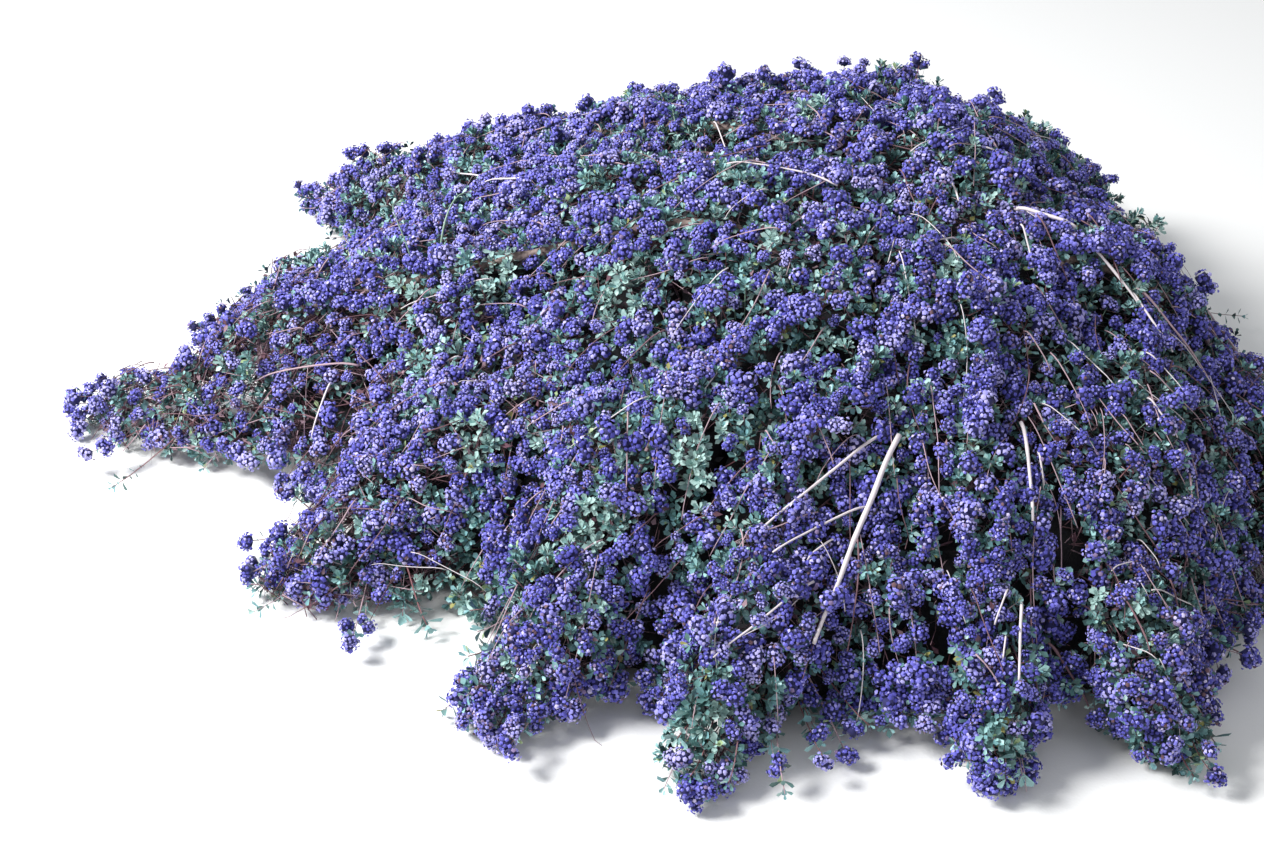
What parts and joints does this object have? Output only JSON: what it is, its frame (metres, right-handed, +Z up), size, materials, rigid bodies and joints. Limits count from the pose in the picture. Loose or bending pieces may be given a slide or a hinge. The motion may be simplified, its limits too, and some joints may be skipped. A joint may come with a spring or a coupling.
{
  "type": "california lilac shrub",
  "caption": "Spreading evergreen shrub in bloom: a low mound of small leaves and violet-blue flower heads over boughs that fan out from a burl",
  "frame": {"origin": "middle of the flat cut under the burl, at ground level", "axes": "+Z up; +X towards the mound's short right-hand side, so the longest lobes of the mat reach to -X; +Y towards its back"},
  "size_m": [1.857, 1.5712, 0.4678],
  "materials": {
    "burl_bark": "rough",
    "bough_bark": "matte",
    "foliage": "matte"
  },
  "bodies": {
    "root": {"stem": "burl_bark", "bough_crown": "bough_bark", "bough_inner_1": "bough_bark", "bough_inner_2": "bough_bark", "bough_inner_3": "bough_bark", "bough_inner_4": "bough_bark", "bough_inner_5": "bough_bark", "bough_middle_1": "bough_bark", "bough_middle_2": "bough_bark", "bough_middle_3": "bough_bark", "bough_middle_4": "bough_bark", "bough_middle_5": "bough_bark", "bough_middle_6": "bough_bark", "bough_middle_7": "bough_bark", "bough_rim_1": "bough_bark", "bough_rim_2": "bough_bark", "bough_rim_3": "bough_bark", "bough_rim_4": "bough_bark", "bough_rim_5": "bough_bark", "bough_rim_6": "bough_bark", "bough_rim_7": "bough_bark", "bough_rim_8": "bough_bark", "bough_rim_9": "bough_bark", "bough_rim_10": "bough_bark", "bough_rim_11": "bough_bark", "bough_rim_12": "bough_bark", "bough_rim_13": "bough_bark", "bough_rim_14": "bough_bark", "mass_crown": "foliage", "mass_inner_1": "foliage", "mass_inner_2": "foliage", "mass_inner_3": "foliage", "mass_inner_4": "foliage", "mass_inner_5": "foliage", "mass_middle_1": "foliage", "mass_middle_2": "foliage", "mass_middle_3": "foliage", "mass_middle_4": "foliage", "mass_middle_5": "foliage", "mass_middle_6": "foliage", "mass_middle_7": "foliage", "mass_rim_1": "foliage", "mass_rim_2": "foliage", "mass_rim_3": "foliage", "mass_rim_4": "foliage", "mass_rim_5": "foliage", "mass_rim_6": "foliage", "mass_rim_7": "foliage", "mass_rim_8": "foliage", "mass_rim_9": "foliage", "mass_rim_10": "foliage", "mass_rim_11": "foliage", "mass_rim_12": "foliage", "mass_rim_13": "foliage", "mass_rim_14": "foliage"}
  },
  "joints": []
}
